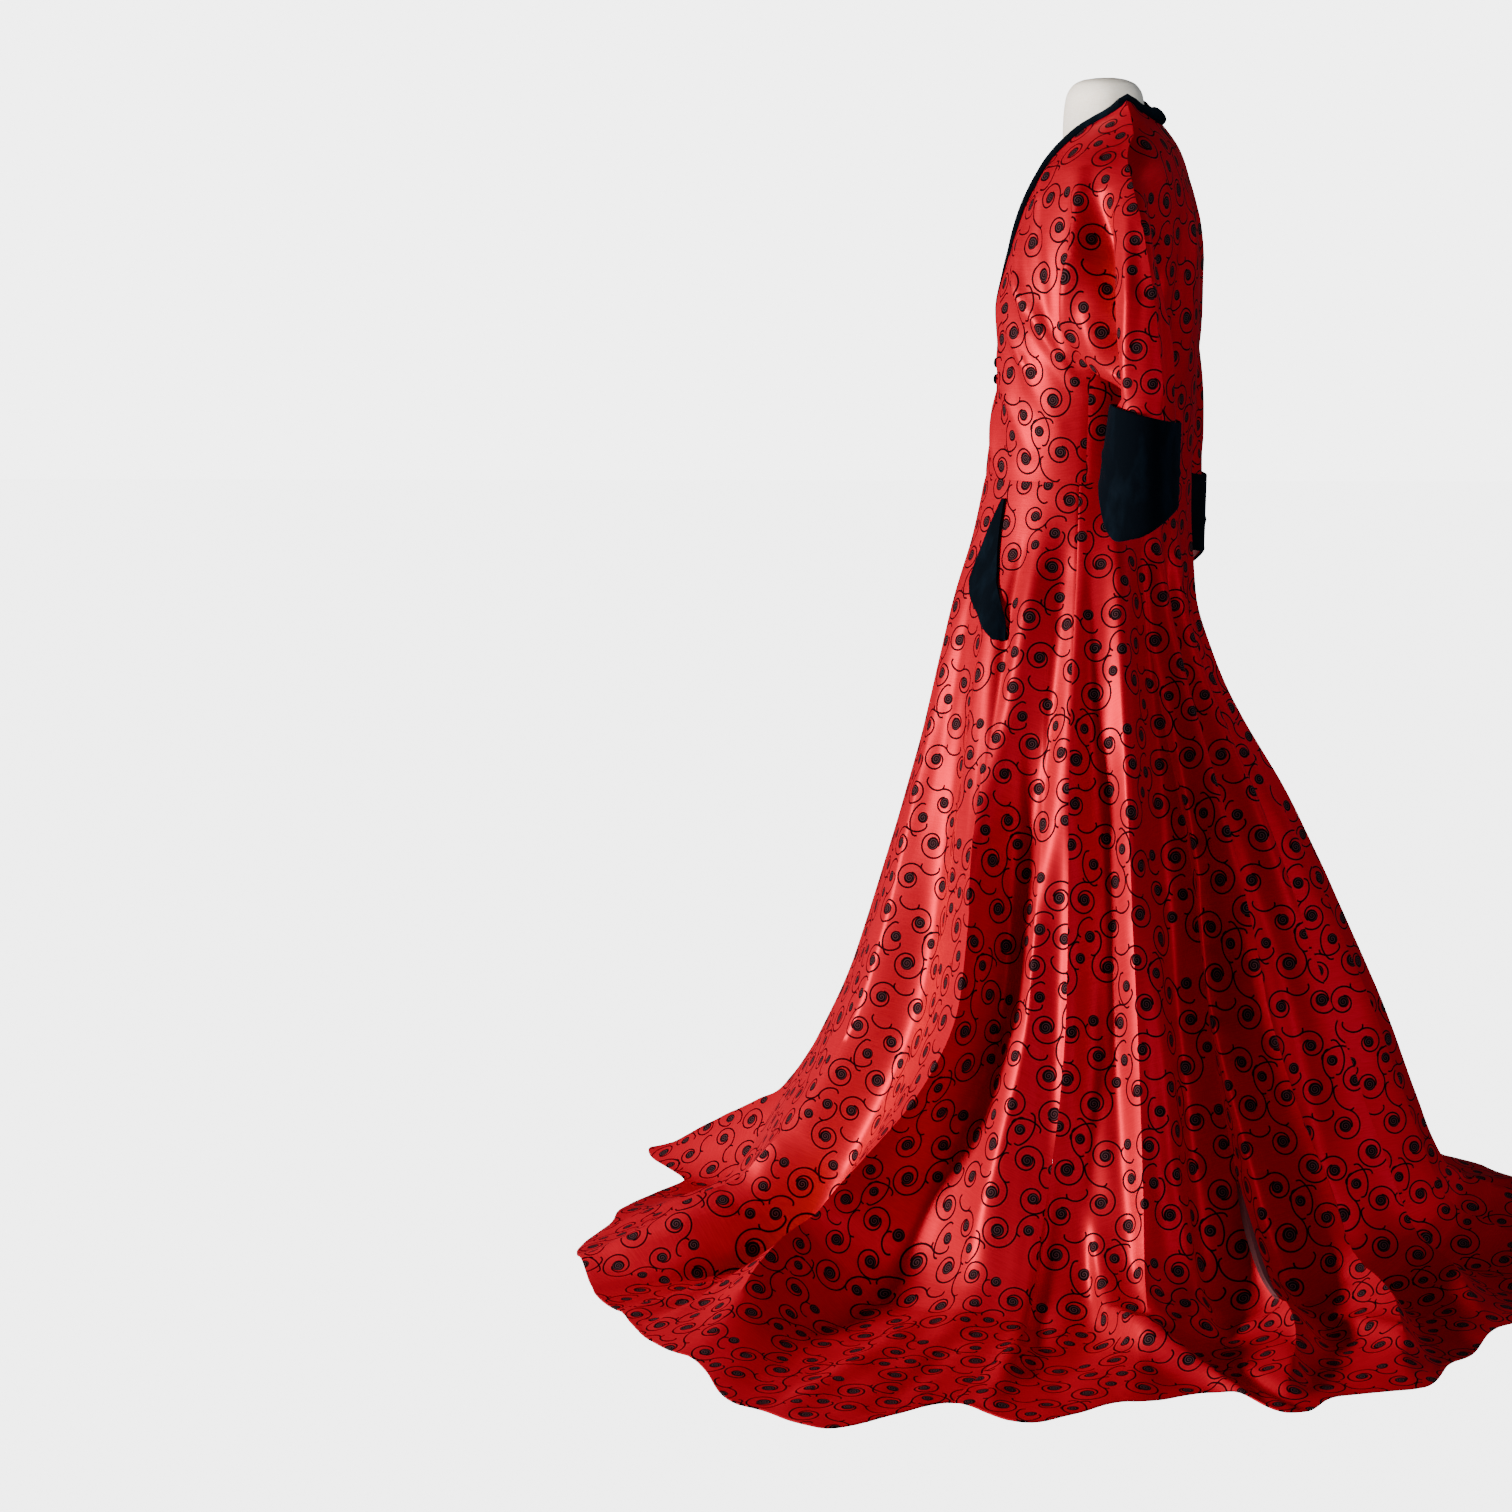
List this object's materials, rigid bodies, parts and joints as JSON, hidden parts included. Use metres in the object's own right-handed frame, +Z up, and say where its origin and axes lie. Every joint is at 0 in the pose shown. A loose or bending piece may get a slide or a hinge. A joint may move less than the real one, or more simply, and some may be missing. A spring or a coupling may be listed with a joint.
{
  "type": "hostess gown on dress form",
  "caption": "Floor-length full-skirted hostess gown of patterned satin with velvet neck band, turn-back cuffs and pocket flaps, worn by a limbless dress form on a round stand.",
  "frame": {"origin": "on the floor, at the centre of the stand base's underside, on the pole's axis", "axes": "+Z up along the pole, -Y towards the gown's front, +X towards the wearer's left"},
  "size_m": [1.4768, 1.2158, 1.3425],
  "materials": {
    "red_satin": "red satin woven with black scrolls",
    "black_velvet": "soft black velvet",
    "form_linen": "plain cream linen over padding",
    "stand_steel": "satin",
    "base_iron": "matt black paint"
  },
  "bodies": {
    "root": {"front_left": "red_satin", "front_right": "red_satin", "back": "red_satin", "skirt_front_left": "red_satin", "skirt_front_right": "red_satin", "skirt_back_left": "red_satin", "skirt_back_right": "red_satin", "cuff_left": "black_velvet", "cuff_right": "black_velvet", "neck_band": "black_velvet", "pocket_flap_left": "black_velvet", "pocket_flap_right": "black_velvet", "button_upper": "black_velvet", "button_lower": "black_velvet", "dress_form": "form_linen", "stand_pole": "stand_steel", "stand_base": "base_iron"}
  },
  "joints": []
}
